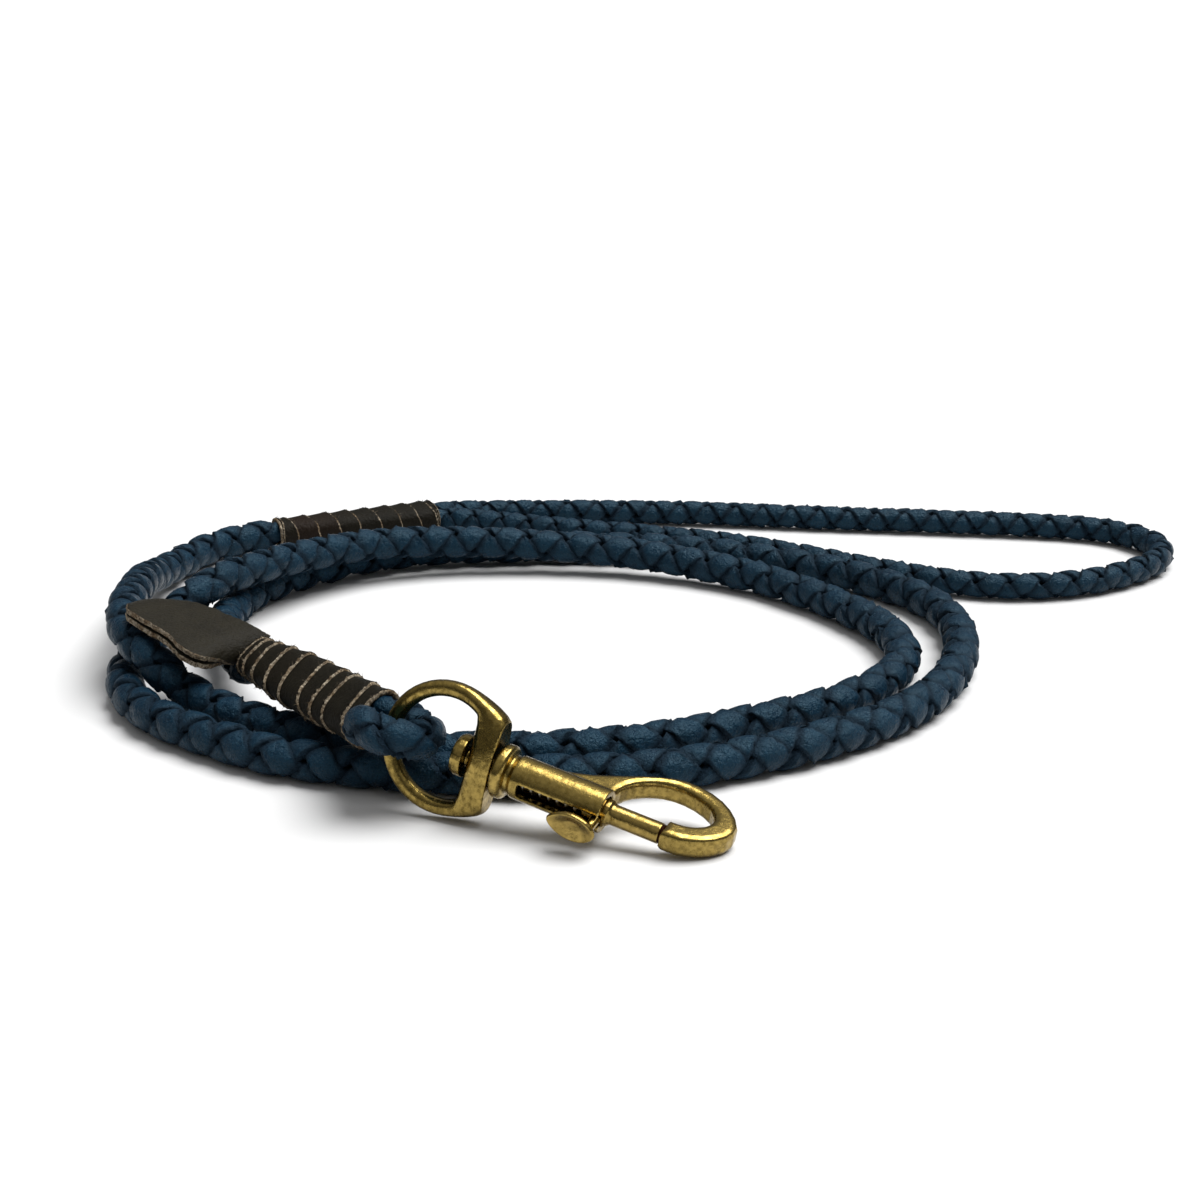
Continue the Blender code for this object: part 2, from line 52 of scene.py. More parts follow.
# Sizes repeated from the CAD part, in millimetres.
LAY_SHIFT = np.array([37.171, 2.803, 0.0])
BRAID_R = 4.0
HANDLE_R = 3.25
LOOP_R = 3.3
LEAD_ROUTE = [
    (-85.3, 79.4, 4.1), (-92, 75, 4), (-99, 67, 4), (-104, 53, 4.2), (-106, 36, 6.5), (-105, 18, 10.6),
    (-103.5, 0, 12.8), (-102, -12, 13.6), (-99, -24, 12.9), (-93, -33, 11.0), (-84, -40, 5.8),
    (-72, -50, 4), (-58, -59.5, 4), (-44, -65.5, 4), (-28, -68.5, 4), (-9, -67.8, 4), (10, -63.5, 4),
    (30, -54, 4), (46, -44, 4), (58, -32, 4), (65, -16, 4), (64.5, 0, 4), (59, 14, 4), (50, 28, 4),
    (38, 41, 4.2), (24, 50, 4.8), (9, 56, 5.6), (-8, 59, 6.5), (-24, 59.5, 7.5), (-40, 57.5, 8.4),
    (-56, 51, 9.6), (-70, 38, 10.8), (-80, 23, 12.2), (-87, 11, 12.6), (-93, 1, 9.8), (-97.5, -9, 6.2),
    (-100, -20, 4), (-98, -33, 4), (-92, -45, 4), (-84, -54, 4), (-74, -62, 4), (-62, -70, 4),
    (-48, -75, 4), (-34, -78, 4), (-18, -79.8, 4), (-2, -79.3, 4), (15, -76, 4), (32, -69, 4),
    (48, -59, 4), (62, -46, 4), (73, -28, 4), (79, -7, 4), (79, 14, 4), (72, 31, 4), (59, 45, 4),
    (42, 56, 4), (24, 63.5, 4), (6, 67, 4), (-9, 68, 4), (-24, 67.5, 4), (-38, 66, 4), (-52, 61.5, 4),
    (-66, 52, 4), (-77, 39, 4), (-83, 25, 4.1), (-84.5, 11, 4.5), (-83, -3, 6.2), (-80, -14, 7.8),
    (-77.2, -23, 8.6), (-74.8, -29.5, 8.8), (-73, -33.6, 8.8),
]
HANDLE_ROUTE = [
    (-45, 100.3, 4), (-27, 103.4, 3.4), (0, 104, 3.3), (27, 102.5, 3.3), (59, 98, 3.3), (91, 94, 3.3),
    (118, 90, 3.3), (133, 85, 3.3), (141, 76, 3.3), (142, 65, 3.3), (135, 53, 3.3), (120, 42, 3.3),
    (104, 37.5, 3.3), (88, 39.5, 3.3), (71, 48, 3.3), (55, 59, 3.3), (41, 68, 3.3), (26, 75, 3.3),
    (0, 83.5, 3.3), (-18, 89.2, 3.3), (-30, 92.9, 3.5), (-41.4, 94.7, 4),
]
SNAP_WRAP = (np.array([-69.8, -38.3, 12.2]), np.array([-40.9, -79.7, 14.9]))
SNAP_WRAP_ROLL = radians(35)
SNAP_WRAP_SHAPE = ((0.0, 0.4, 1.0), (0.74, 1.0, 1.0), (0.85, 1.0, 1.15))    # along; width; height
SNAP_WRAP_HALF = (5.45, 2.8)    # inside half width and half height
HANDLE_WRAP = (np.array([-84.0, 80.0, 4.2]), np.array([-45.0, 97.0, 4.2]))
HANDLE_WRAP_SHAPE = ((0.0, 0.5, 1.0), (0.74, 0.87, 1.0), (1.0, 1.0, 1.0))
HANDLE_WRAP_HALF = (5.75, 2.9)
WRAP_POWER = 0.74
TAG_EDGES = [
    ((-67.7, -33.6, 15.2), (-74.6, -38.2, 10.6)), ((-71.8, -32.4, 16.4), (-76.6, -41.8, 12.2)),
    ((-77.5, -28.0, 17.0), (-79.0, -45.6, 13.6)), ((-84.0, -23.0, 17.5), (-83.0, -44.6, 15.0)),
    ((-90.0, -22.0, 18.0), (-87.5, -39.0, 16.4)), ((-95.0, -23.3, 18.4), (-93.0, -34.5, 17.6)),
    ((-98.0, -27.0, 18.6), (-97.2, -30.2, 18.5)),
]
TAG_CROWN = (1.0, 0.4)
TAG_PLY = 1.1
TAG_GAP = 0.4
EYE_CENTRE = np.array([-27.6, -88.3, 12.905])
SNAP_YAW = radians(23.5)
SNAP_PITCH = radians(12.5)
HOOK_ROLL = radians(8.5)
EYE_LEAN = radians(-10)
EYE_R = 12.4
EYE_LIMB = 1.5
SPRING_SPAN = (15.3, 28.0)
SPRING_R = 1.85
SPRING_TURNS = 7
# Seat: a near black plug in the gap where the bolt closes on the hook's tip, painted as the shade in that
# gap.
SEAT_SPAN = (42.6, 42.98)
SEAT_R = 1.75
SEAT_GAP_SHADE_COLOURS = ((0.06, 0.018, 0.008), (0.02, 0.006, 0.003))

# Tongue: how its two plies are cut, in millimetres where not said otherwise.
TAG_ROWS = 16                   # rows of points to each span of its outline
TAG_COLUMNS = 41
TAG_EVEN = 0.65                 # how evenly its columns are spaced: at 0 they crowd to the edges most
TAG_TRIM = ((2.0, 0.010), (2.0, 0.008))     # unevenness of the near and far edges, in percent and widths
TAG_RIPPLE = (0.10, 9.0)        # height, and radians along the tongue
TAG_RIM_HEIGHTS = (0.62, 0.2, -0.2, -0.62)  # in half thicknesses
TAG_RIM_OUT = 0.10
TAG_RIM_RAGGED = (0.05, 0.07)
TAG_END_OUT = 0.3
TAG_CURL = (0.25, -0.15)        # height of the near rim's curl: upper and lower ply

# Coil spring: its wire, in millimetres.
SPRING_STEPS = 28               # points to each turn
SPRING_WIRE = 0.33
SPRING_CLEAR = 0.35             # from each end of its span to the wire's middle

# Braid: four laces, two each way. Lengths are shares of the braid's radius.
PITCH = 4.65
LACE_WIDTH = 1.34
LACE_THICK = 0.27               # half thickness
FACE_R = 0.61                   # radius at which a lace has its true width
MID_R = 0.58
WEAVE = 0.15                    # how far a lace rises and dips
WEAVE_FLAT = 1.5                # how flat its rises and dips are: near 0 is a plain wave
STRAND_STEP = 0.7               # millimetres between a lace's sections
LACE_END = 0.05                 # millimetres that a lace stops short of its line's end
LEAD_ROLL = (radians(25), radians(0.06))
HANDLE_ROLL = (radians(10), radians(0.1))
LOOP_ROLL = (radians(40), 0.0)
DIP_SHADE_FROM = 0.36                # share of its dip from which a lace gets painted shade, and over how much
DIP_SHADE_OVER = 0.14
LACE_TILT = 0.10                # one side of a lace stands a little higher than the other
WIDTH_WANDER = 0.035            # slow unevenness of a lace's width, place, height and tilt
PLACE_WANDER = 0.045
HEIGHT_WANDER = 0.012
TILT_WANDER = 0.06
EDGE_JAG = 0.034                # ragged cut edges
FACE_ROUGH = 0.006
EDGE_ROUGH = 9                  # times the face's roughness
# A lace's section, from one cut edge over the top to the other: place across, height, share of edge.
LACE_SECTION = [
    (-1.02, -0.9, 1.0), (-0.97, -0.4, 1.0), (-0.91, 0.15, 1.0), (-0.87, 0.62, 1.0), (-0.79, 0.85, 0.8),
    (-0.64, 0.94, 0.0), (-0.3, 0.99, 0.0), (0.0, 1.0, 0.0), (0.3, 0.99, 0.0), (0.64, 0.94, 0.0),
    (0.79, 0.85, 0.8), (0.87, 0.62, 1.0), (0.91, 0.15, 1.0), (0.97, -0.4, 1.0), (1.02, -0.9, 1.0),
    (0.3, -1.0, 1.0), (-0.3, -1.0, 1.0),
]

# How far the cords run into the wraps, in millimetres, and their size by length: see braid's swell.
LINE_STEP = 0.8
LOOP_STEP = 0.5
LEAD_TUCK = 5.0
LEAD_TAIL = (2.0, 1.5)          # along the snap wrap, and below its middle
LEAD_SWELL = ((0, 5, 9), (0.75, 0.8, 1.0))
LEAD_TAIL_SWELL = ((-6, 0), (1.0, 0.6))
HANDLE_TUCK = (4.0, 2.85)       # along the handle wrap, and to each side of its middle
HANDLE_SWELL = ((0, 5, 10), (0.8, 0.8, 1.0))
LOOP_SIDE = LOOP_R + EYE_LIMB + 1.3     # from the ring's limb to the middle of the loop's cord
LOOP_CORNER = 0.71              # share of that to each side at the bend's corners
LOOP_LEGS = 2.75                # from the snap wrap's middle to each leg
LOOP_NEAR = 0.3                 # past the wrap's mouth, where the bend begins
LOOP_TUCK = 8.0
LOOP_SPACING = 2.0              # between the points of a tucked leg
LOOP_SWELL = ((0, 8, 12), (0.7, 0.78, 1.12))

# Edges of the wound strips, in millimetres from each wrap's start.
SNAP_WRAP_EDGES = [0.6, 4.1, 9.2, 16.4, 22.9, 32.0, 35.3, 40.9]
HANDLE_WRAP_EDGES = [0.8, 5.2, 11.2, 16.8, 22.0, 28.0, 33.0, 38.4]
STRIP_RISE = 0.75               # height of a strip's free edge
TURN_STEPS = 90
STRIP_LEAST = 0.2               # narrowest that a turn shows
STRIP_WANDER = (0.09, 0.16)     # the free edge's wandering: spacing in turns, and size
STRIP_FIXED = 0.5               # a free edge this near the wrap's end doesn't wander
STRIP_CUT_SPAN = 8.0            # millimetres to one share of width at the cut edge
STRIP_SWELL = (0.35, 0.07)      # unevenness of its height: spacing in turns, and size
STRIP_RAGGED = 0.08             # roughness of the cut edge
STRIP_SMOOTH = 0.008            # roughness of the face
STRIP_START = radians(250)      # where round the wrap each turn starts
STRIP_TINT = (1.3, 0.5)         # how its colour wanders: spacing in turns, and size
RIM_STEPS = 120
RIM_RAGGED = 0.05
FIBRE_LEAN = (0.8, 0.5)         # how far a fibre leans outward and along the wrap
FIBRE_SPREAD = 0.55
FIBRE_BEND = 0.35
FIBRE_LENGTH = (0.25, 0.95)
SNAP_WRAP_FIBRES = 260
HANDLE_WRAP_FIBRES = 340
FIBRE_R = 0.045

# Castings: CAD node, piece, body, remesh size in millimetres, smoothing passes and brass.
CASTINGS = [
    ("swivel_eye", "cast_eye", "eye", 0.22, 6, "ring_brass"),
    ("swivel_post", "rivet_post", "snap", 0.14, 4, "ring_brass"),
    ("snap_body", "cast_hook", "snap", 0.20, 6, "body_brass"),
    ("bolt", "sliding_bolt", "bolt", 0.12, 3, "pin_brass"),
    ("thumb_knob", "thumb_button", "bolt", 0.12, 4, "pin_brass"),
]
SEAT_SIDES = 28

# Seeds of the random draws.
LEAD_SEED = 11
HANDLE_SEED = 12
LOOP_SEED = 13
SNAP_WRAP_SEEDS = (21, 27, 23)  # strip, fibres and first rim
HANDLE_WRAP_SEEDS = (22, 28, 25)
TAG_SEEDS = (31, 32)            # upper and lower ply

# Camera: in front of the coil's middle, looking level with the table's depth.
CAMERA_BACK = 420.0
CAMERA_UP = 148.8
CAMERA_DROP = atan(0.326)       # how steeply it looks down
CAMERA_LENS = 60.0
CAMERA_SENSOR = 36.0
CAMERA_NEAR = 0.01

# Studio light: one broad lamp from the upper right, and a dome that is bright overhead and dark at the sides.
KEY_FROM = (0.38, 0.10, 0.92)
KEY_POWER = 4.5
KEY_SOFTNESS = radians(48)
SKY_LOW = (0.06, 0.06, 0.06)
SKY_HIGH = (0.52, 0.52, 0.52)
BACKDROP = (1.0, 1.0, 1.0)
SKY_HEIGHTS = (0.15, 0.9)       # sines of the heights at which the dome starts and ends brightening
FLOOR_REACH = 6.0               # metres each way
FLOOR_DROP = 0.0002


# ---------------------------------------------------------------- curves

def catmull(points, per_span):
    """The smooth curve through the points, with per_span steps between each two."""
    pts = np.array(points, float)
    ends = np.vstack([2 * pts[0] - pts[1], pts, 2 * pts[-1] - pts[-2]])
    f = np.linspace(0, 1, per_span, endpoint=False)[:, None]
    rows = []
    for i in range(len(pts) - 1):
        p0, p1, p2, p3 = ends[i:i + 4]
        rows.append(0.5 * (2 * p1 + (p2 - p0) * f + (2 * p0 - 5 * p1 + 4 * p2 - p3) * f ** 2
                           + (3 * p1 - p0 - 3 * p2 + p3) * f ** 3))
    rows.append(pts[-1:])
    return np.vstack(rows)


def runs_of(points):
    return np.concatenate([[0.0], np.cumsum(np.linalg.norm(np.diff(points, axis=0), axis=1))])


def even(points, step):
    """Points at even spacing along the smooth curve through the given ones."""
    fine = catmull(points, 60)
    runs = runs_of(fine)
    count = int(round(runs[-1] / step)) + 1
    where = np.linspace(0, runs[-1], count)
    return np.stack([np.interp(where, runs, fine[:, k]) for k in range(3)], axis=1)


class Line:
    """A centre line with a frame carried along it without twist: out is level at the start."""

    def __init__(self, points):
        self.points = points
        self.runs = runs_of(points)
        self.length = self.runs[-1]
        ahead = np.gradient(points, axis=0)
        ahead /= np.linalg.norm(ahead, axis=1)[:, None]
        up = UP - ahead[0] * ahead[0, 2]
        rows = []
        for a in ahead:
            up = up - a * up.dot(a)
            up /= np.linalg.norm(up)
            rows.append(up)
        self.up = np.array(rows)
        self.side = np.cross(ahead, self.up)

    def at(self, z, angle, radius):
        """Places at a length along the line, an angle from its up direction and a radius."""
        def read(table):
            return np.stack([np.interp(z, self.runs, table[:, k]) for k in range(3)], axis=-1)
        centre, up, side = read(self.points), read(self.up), read(self.side)
        return centre + radius[..., None] * (up * np.cos(angle)[..., None] + side * np.sin(angle)[..., None])


def lay(points):
    return np.array(points, float) + LAY_SHIFT


def snap_axes(roll):
    s_axis = np.array([cos(SNAP_YAW) * cos(SNAP_PITCH), -sin(SNAP_YAW) * cos(SNAP_PITCH), -sin(SNAP_PITCH)])
    level = np.array([sin(SNAP_YAW), cos(SNAP_YAW), 0])
    upright = np.cross(s_axis, level)
    v_axis = level * cos(roll) + upright * sin(roll)
    return s_axis, v_axis, np.cross(s_axis, v_axis)


# ---------------------------------------------------------------- meshes

def mesh_object(name, verts, faces, materials, face_slots=None, layers=None):
    """A smooth mesh in millimetres, with float layers on its vertices."""
    mesh = bpy.data.meshes.new(name)
    mesh.from_pydata((np.asarray(verts) * MM).tolist(), [], faces)
    for mat in materials:
        mesh.materials.append(mat)
    if face_slots is not None:
        mesh.polygons.foreach_set("material_index", np.asarray(face_slots, np.int32))
    for key, values in (layers or {}).items():
        layer = mesh.attributes.new(key, "FLOAT", "POINT")
        layer.data.foreach_set("value", np.asarray(values, np.float32))
    mesh.shade_smooth()
    mesh.update()
    obj = bpy.data.objects.new(name, mesh)
    bpy.context.scene.collection.objects.link(obj)
    return obj


def grid_faces(rows, columns, start=0, wrap_rows=False, wrap_columns=True, caps=True):
    """Quads of a lofted grid, row by row, with its ends filled."""
    faces = []
    last_row = rows if wrap_rows else rows - 1
    last_column = columns if wrap_columns else columns - 1
    for i in range(last_row):
        a = start + i * columns
        b = start + ((i + 1) % rows) * columns
        for j in range(last_column):
            k = (j + 1) % columns
            faces.append((a + j, b + j, b + k, a + k))
    if caps and not wrap_rows:
        for base, flip in ((start, False), (start + (rows - 1) * columns, True)):
            for j in range(columns // 2 - 1):
                m = columns - 1 - j
                quad = (base + j, base + j + 1, base + m - 1, base + m)
                faces.append(quad[::-1] if flip else quad)
    return faces


def wander(rng, where, spacing, size):
    """Smooth random wandering of a value along a length."""
    knots = int((where.max() - where.min()) / spacing) + 3
    values = rng.normal(0.0, size, knots)
    return np.interp((where - where.min()) / spacing, np.arange(knots), values)


def lace(line, radius, way, phase, rng, roll, swell):
    """One lace of a round braid, way 1 or -1 for its hand: its points, and how dark each is, from its dark
    cut edges and from painted shade where it dips under the others.
    """
    pitch = PITCH * radius
    reach = 2 * pi * FACE_R * radius
    size = (reach ** 2 + pitch ** 2) ** 0.5
    turn_part, run_part = reach / size, pitch / size
    half = LACE_WIDTH * radius / 2
    across, height, edge = np.array(LACE_SECTION).T
    pad = half * turn_part + LACE_END
    z0 = np.arange(pad, line.length - pad, STRAND_STEP * radius / BRAID_R)
    cut = edge > 0.5
    wide = half * (1 + wander(rng, z0, pitch / 3, WIDTH_WANDER))
    shift = wander(rng, z0, pitch / 3, PLACE_WANDER * radius)
    lift = wander(rng, z0, pitch / 4, HEIGHT_WANDER * radius)
    tilt = LACE_TILT + wander(rng, z0, pitch / 3, TILT_WANDER)
    jag = rng.normal(0.0, EDGE_JAG * radius, (len(z0), len(across))) * cut
    u = across[None, :] * wide[:, None] + shift[:, None] + jag
    heading = way * 2 * pi * z0[:, None] / pitch + phase
    angle = heading + u * run_part / (FACE_R * radius)
    z = z0[:, None] - way * u * turn_part
    weave = np.tanh(WEAVE_FLAT * np.cos(2 * heading)) / np.tanh(WEAVE_FLAT)
    ride = MID_R * radius + way * WEAVE * radius * weave + lift[:, None]
    tall = LACE_THICK * radius * (height[None, :] + tilt[:, None] * across[None, :])
    rough = rng.normal(0.0, FACE_ROUGH * radius, u.shape) * np.where(cut, EDGE_ROUGH, 1)
    z = np.clip(z, 0, line.length)
    reach_out = (ride + tall + rough) * np.interp(z, swell[0], swell[1])
    verts = line.at(z, angle + roll[0] + roll[1] * z, reach_out)
    # Where the lace dips under the others it gets painted shade: the edge layer darkens it there as it does
    # the cut edges.
    sunk = 0.5 - 0.5 * way * np.cos(2 * heading)
    edges = np.maximum(edge[None, :], np.clip((sunk - DIP_SHADE_FROM) / DIP_SHADE_OVER, 0, 1))
    return verts, edges


def braid(name, line, radius, mat, seed, roll, swell):
    """A braid's four laces as one mesh.

    roll is its turn at the start and per millimetre, and swell is its size by length.
    """
    rng = np.random.default_rng(seed)
    verts, faces, edges = [], [], []
    start = 0
    for way in (1, -1):
        for phase in (0.0, pi):
            block, edge = lace(line, radius, way, phase, rng, roll, swell)
            rows, columns = block.shape[:2]
            verts.append(block.reshape(-1, 3))
            edges.append(edge.reshape(-1))
            faces += grid_faces(rows, columns, start)
            start += rows * columns
    # The edge layer holds the dark cut edges and the painted shade where laces dip under each other.
    layers = {"edge": np.concatenate(edges)}
    verts = np.vstack(verts)
    verts[:, 2] = np.maximum(verts[:, 2], 0.0)    # flat where it rests on the table
    return mesh_object(name, verts, faces, [mat], layers=layers)


def squarish(angle, half_width, half_height):
    """An oval's across and up places, with fuller corners, and its outward direction."""
    c, s = np.cos(angle), np.sin(angle)
    x = half_width * np.sign(c) * np.abs(c) ** WRAP_POWER
    y = half_height * np.sign(s) * np.abs(s) ** WRAP_POWER
    out = np.stack([c / half_width, s / half_height])
    return x, y, out / np.linalg.norm(out, axis=0)


def wrap_frame(ends, roll):
    along = ends[1] - ends[0]
    length = np.linalg.norm(along)
    along = along / length
    level = np.array([-along[1], along[0], 0.0])
    level /= np.linalg.norm(level)
    upright = np.cross(along, level)
    across = level * cos(roll) + upright * sin(roll)
    return along, across, np.cross(along, across), length


# A strip's section: share of its width from the tucked side to the free edge, and height.
STRIP_SECTION = [
    (-0.18, 0.00), (0.0, 0.24), (0.22, 0.40), (0.5, 0.58), (0.78, 0.80), (0.90, 0.94), (0.96, 0.98),
    (0.985, 0.9), (1.02, 0.64), (1.035, 0.38), (1.04, 0.05), (0.9, -0.3), (0.4, -0.3), (-0.1, -0.3),
]
STRIP_RAW = (6, 7, 8)           # columns of points along the cut edge
STRIP_CUT_FROM = 0.95           # share of width from which a point keeps its distance from the edge
# A wrap's rim: depth into the wrap, and height in strip heights.
RIM_SECTION = [
    (-2.0, -0.5), (-2.0, 0.1), (-0.5, 0.72), (-0.05, 0.9), (0.12, 0.7), (0.16, 0.4), (0.14, 0.1),
    (0.02, -0.2), (-0.8, -0.6),
]
RIM_RAW = range(2, 8)           # columns whose faces are the cut edge


def wound_strip(name, ends, roll, shape, half, edge_list, mats, seed):
    """A leather strip wound along a wrap, each turn lapping over the next, with its cut edge free.

    It returns the strip, and the points and directions where fibres stand out of the edge.
    """
    rng = np.random.default_rng(seed)
    along, across, up, length = wrap_frame(ends, roll)
    edges = np.array(edge_list + [length])
    turns = len(edges) - 1
    t = np.linspace(-1.0, turns + 1.0, TURN_STEPS * (turns + 2) + 1)
    right = np.interp(t, np.arange(turns + 1), edges)
    left = np.interp(t - 1.0, np.arange(turns + 1), edges, left=0.0)
    left = np.minimum(left, right - STRIP_LEAST)
    right = right + wander(rng, t, *STRIP_WANDER) * (right < length - STRIP_FIXED)
    section = np.array(STRIP_SECTION)
    wide = (right - left)[:, None]
    s = left[:, None] + section[None, :, 0] * wide
    cut = section[:, 0] > STRIP_CUT_FROM
    s[:, cut] = right[:, None] + (section[cut, 0] - 1.0) * STRIP_CUT_SPAN
    swell = 1.0 + wander(rng, t, *STRIP_SWELL)
    raise_by = section[None, :, 1] * STRIP_RISE * swell[:, None]
    raw = np.zeros(len(section), bool)
    raw[list(STRIP_RAW)] = True
    s = s + rng.normal(0.0, STRIP_RAGGED, s.shape) * raw
    raise_by = raise_by + rng.normal(0.0, STRIP_RAGGED, s.shape) * raw
    raise_by = raise_by + rng.normal(0.0, STRIP_SMOOTH, s.shape)
    s = np.clip(s, 0.0, length)
    share = s / length
    width = half[0] * np.interp(share, shape[0], shape[1])
    height = half[1] * np.interp(share, shape[0], shape[2])
    angle = np.broadcast_to((2 * pi * t)[:, None] + STRIP_START, s.shape)
    x, y, out = squarish(angle, width, height)
    place = (ends[0] + LAY_SHIFT + along * s[..., None] + across * (x + out[0] * raise_by)[..., None]
             + up * (y + out[1] * raise_by)[..., None])
    rows, columns = s.shape
    faces = [f[::-1] for f in grid_faces(rows, columns)]
    slots = [int(STRIP_RAW[0] < j <= STRIP_RAW[-1]) for j in range(columns)] * (rows - 1)
    slots += [0] * (len(faces) - len(slots))
    tint = np.broadcast_to(wander(rng, t, *STRIP_TINT)[:, None], s.shape)
    layers = {"tint": tint.reshape(-1)}
    outward = across * out[0][..., None] + up * out[1][..., None]
    edge_column = STRIP_RAW[1]
    roots = place[:, edge_column]
    ways = outward[:, edge_column] * FIBRE_LEAN[0] + along * FIBRE_LEAN[1]
    return mesh_object(name, place.reshape(-1, 3), faces, mats, slots, layers), roots, ways


def fibres(name, roots, ways, mat, count, seed):
    """Loose fibres that stand out of a cut edge: thin bent spikes at random places along it."""
    rng = np.random.default_rng(seed)
    verts, faces = [], []
    for _ in range(count):
        k = rng.integers(len(roots))
        reach = rng.uniform(*FIBRE_LENGTH)
        way = ways[k] + rng.normal(0.0, FIBRE_SPREAD, 3)
        way /= np.linalg.norm(way)
        bend = rng.normal(0.0, FIBRE_BEND, 3)
        side = np.cross(way, rng.normal(0.0, 1.0, 3))
        side /= np.linalg.norm(side)
        other = np.cross(way, side)
        start = len(verts)
        for share, thick in ((0.0, 1.0), (0.5, 0.8), (1.0, 0.2)):
            centre = roots[k] + way * reach * share + bend * reach * share ** 2
            for turn in (0.0, 2 * pi / 3, 4 * pi / 3):
                verts.append(centre + (side * cos(turn) + other * sin(turn)) * FIBRE_R * thick)
        faces += grid_faces(3, 3, start, caps=False)
        faces += [(start, start + 1, start + 2), (start + 8, start + 7, start + 6)]
    verts = np.array(verts)
    verts[:, 2] = np.maximum(verts[:, 2], 0.0)
    return mesh_object(name, verts, faces, [mat])


def wrap_mouth(name, ends, roll, shape, half, at_end, mats, seed):
    """The cut rim at a wrap's end: a thick ring from the braid to the wrap's outside."""
    rng = np.random.default_rng(seed)
    along, across, up, _ = wrap_frame(ends, roll)
    share = 1.0 if at_end else 0.0
    way = 1.0 if at_end else -1.0
    width = half[0] * np.interp(share, shape[0], shape[1])
    height = half[1] * np.interp(share, shape[0], shape[2])
    base = ends[1] if at_end else ends[0]
    angle = 2 * pi * np.arange(RIM_STEPS) / RIM_STEPS
    x, y, out = squarish(angle, width, height)
    verts = []
    for i, (depth, lift) in enumerate(RIM_SECTION):
        ragged = RIM_RAW[0] < i <= RIM_RAW[-1]
        depths = depth + rng.normal(0.0, RIM_RAGGED, RIM_STEPS) * ragged
        lifts = lift * STRIP_RISE + rng.normal(0.0, RIM_RAGGED, RIM_STEPS) * ragged
        verts.append(base + LAY_SHIFT + along * (way * depths)[:, None]
                     + across * (x + out[0] * lifts)[:, None] + up * (y + out[1] * lifts)[:, None])
    columns = len(RIM_SECTION)
    grid = np.stack(verts, axis=1)
    faces = grid_faces(RIM_STEPS, columns, wrap_rows=True)
    if not at_end:
        faces = [f[::-1] for f in faces]
    slots = [int(j in RIM_RAW) for j in range(columns)] * RIM_STEPS
    layers = {"tint": np.zeros(RIM_STEPS * columns)}
    return mesh_object(name, grid.reshape(-1, 3), faces, mats, slots, layers)


def tag_ply(name, lift, curl, mats, seed):
    """One layer of the tongue, with a smooth face, rounded cut edges and a little curl at its rim."""
    rng = np.random.default_rng(seed)
    far_edge = catmull(lay([far for far, _ in TAG_EDGES]), TAG_ROWS)
    near_edge = catmull(lay([near for _, near in TAG_EDGES]), TAG_ROWS)
    rows = len(far_edge)
    columns = TAG_COLUMNS
    share = np.linspace(0, 1, rows)
    crowded = 0.5 - 0.5 * np.cos(np.linspace(0, pi, columns))
    v = (1 - TAG_EVEN) * crowded + TAG_EVEN * np.linspace(0, 1, columns)
    mid = (far_edge + near_edge) / 2
    heading = np.gradient(mid, axis=0)
    normal = np.cross(far_edge - near_edge, heading)
    normal *= np.sign(normal[:, 2:3])
    normal /= np.linalg.norm(normal, axis=1)[:, None]
    crown = TAG_CROWN[0] + (TAG_CROWN[1] - TAG_CROWN[0]) * share
    trim_near = 1.0 + wander(rng, share * 100, *TAG_TRIM[0])
    trim_far = wander(rng, share * 100, *TAG_TRIM[1])
    line = trim_far[:, None] + (trim_near - trim_far)[:, None] * v[None, :]
    bow = crown[:, None] * 4 * v * (1 - v)
    ripple = TAG_RIPPLE[0] * np.sin(share * TAG_RIPPLE[1])[:, None] * (v ** 3)
    ripple = ripple + curl * (v ** 6)[None, :] * np.sin(share * pi)[:, None]
    base = far_edge[:, None, :] + (near_edge - far_edge)[:, None, :] * line[..., None]
    rise = (bow + ripple + lift)[..., None] * normal[:, None, :]
    thick = (TAG_PLY / 2) * normal[:, None, :]
    top = base + rise + thick
    under = base + rise - thick
    width = np.linalg.norm(far_edge - near_edge, axis=1)[:, None]
    edge_dir = (near_edge - far_edge) / width
    rim = []
    for side, at in ((1, -1), (-1, 0)):
        for share_up in TAG_RIM_HEIGHTS:
            out = TAG_RIM_OUT + rng.normal(0.0, TAG_RIM_RAGGED[0], rows)
            up_by = share_up + rng.normal(0.0, TAG_RIM_RAGGED[1], rows)
            middle = base[:, at] + rise[:, at]
            rim.append(middle + thick[:, 0] * up_by[:, None] + edge_dir * (side * out)[:, None])
    rim_columns = len(TAG_RIM_HEIGHTS)
    near_rim = np.stack(rim[:rim_columns], axis=1)
    far_rim = np.stack(rim[rim_columns:][::-1], axis=1)
    loop = np.concatenate([top, near_rim, under[:, ::-1], far_rim], axis=1)
    count = loop.shape[1]
    tip = loop[-1].mean(axis=0) + heading[-1] / np.linalg.norm(heading[-1]) * TAG_END_OUT
    faces = grid_faces(rows, count, caps=False)
    raw_columns = {*range(columns - 1, columns + rim_columns), *range(2 * columns + rim_columns - 1, count)}
    slots = [int(j in raw_columns) for j in range(count)] * (rows - 1)
    verts = np.vstack([loop.reshape(-1, 3), tip[None, :], loop[0].mean(axis=0)[None, :]])
    tip_index = rows * count
    for j in range(count):
        k = (j + 1) % count
        faces.append(((rows - 1) * count + j, tip_index, (rows - 1) * count + k))
        faces.append((j, k, tip_index + 1))
        slots += [1, 0]
    obj = mesh_object(name, verts, faces, mats, slots, {"tint": np.zeros(len(verts))})
    bm = bmesh.new()
    bm.from_mesh(obj.data)
    bmesh.ops.recalc_face_normals(bm, faces=bm.faces)
    bm.to_mesh(obj.data)
    bm.free()
    return obj


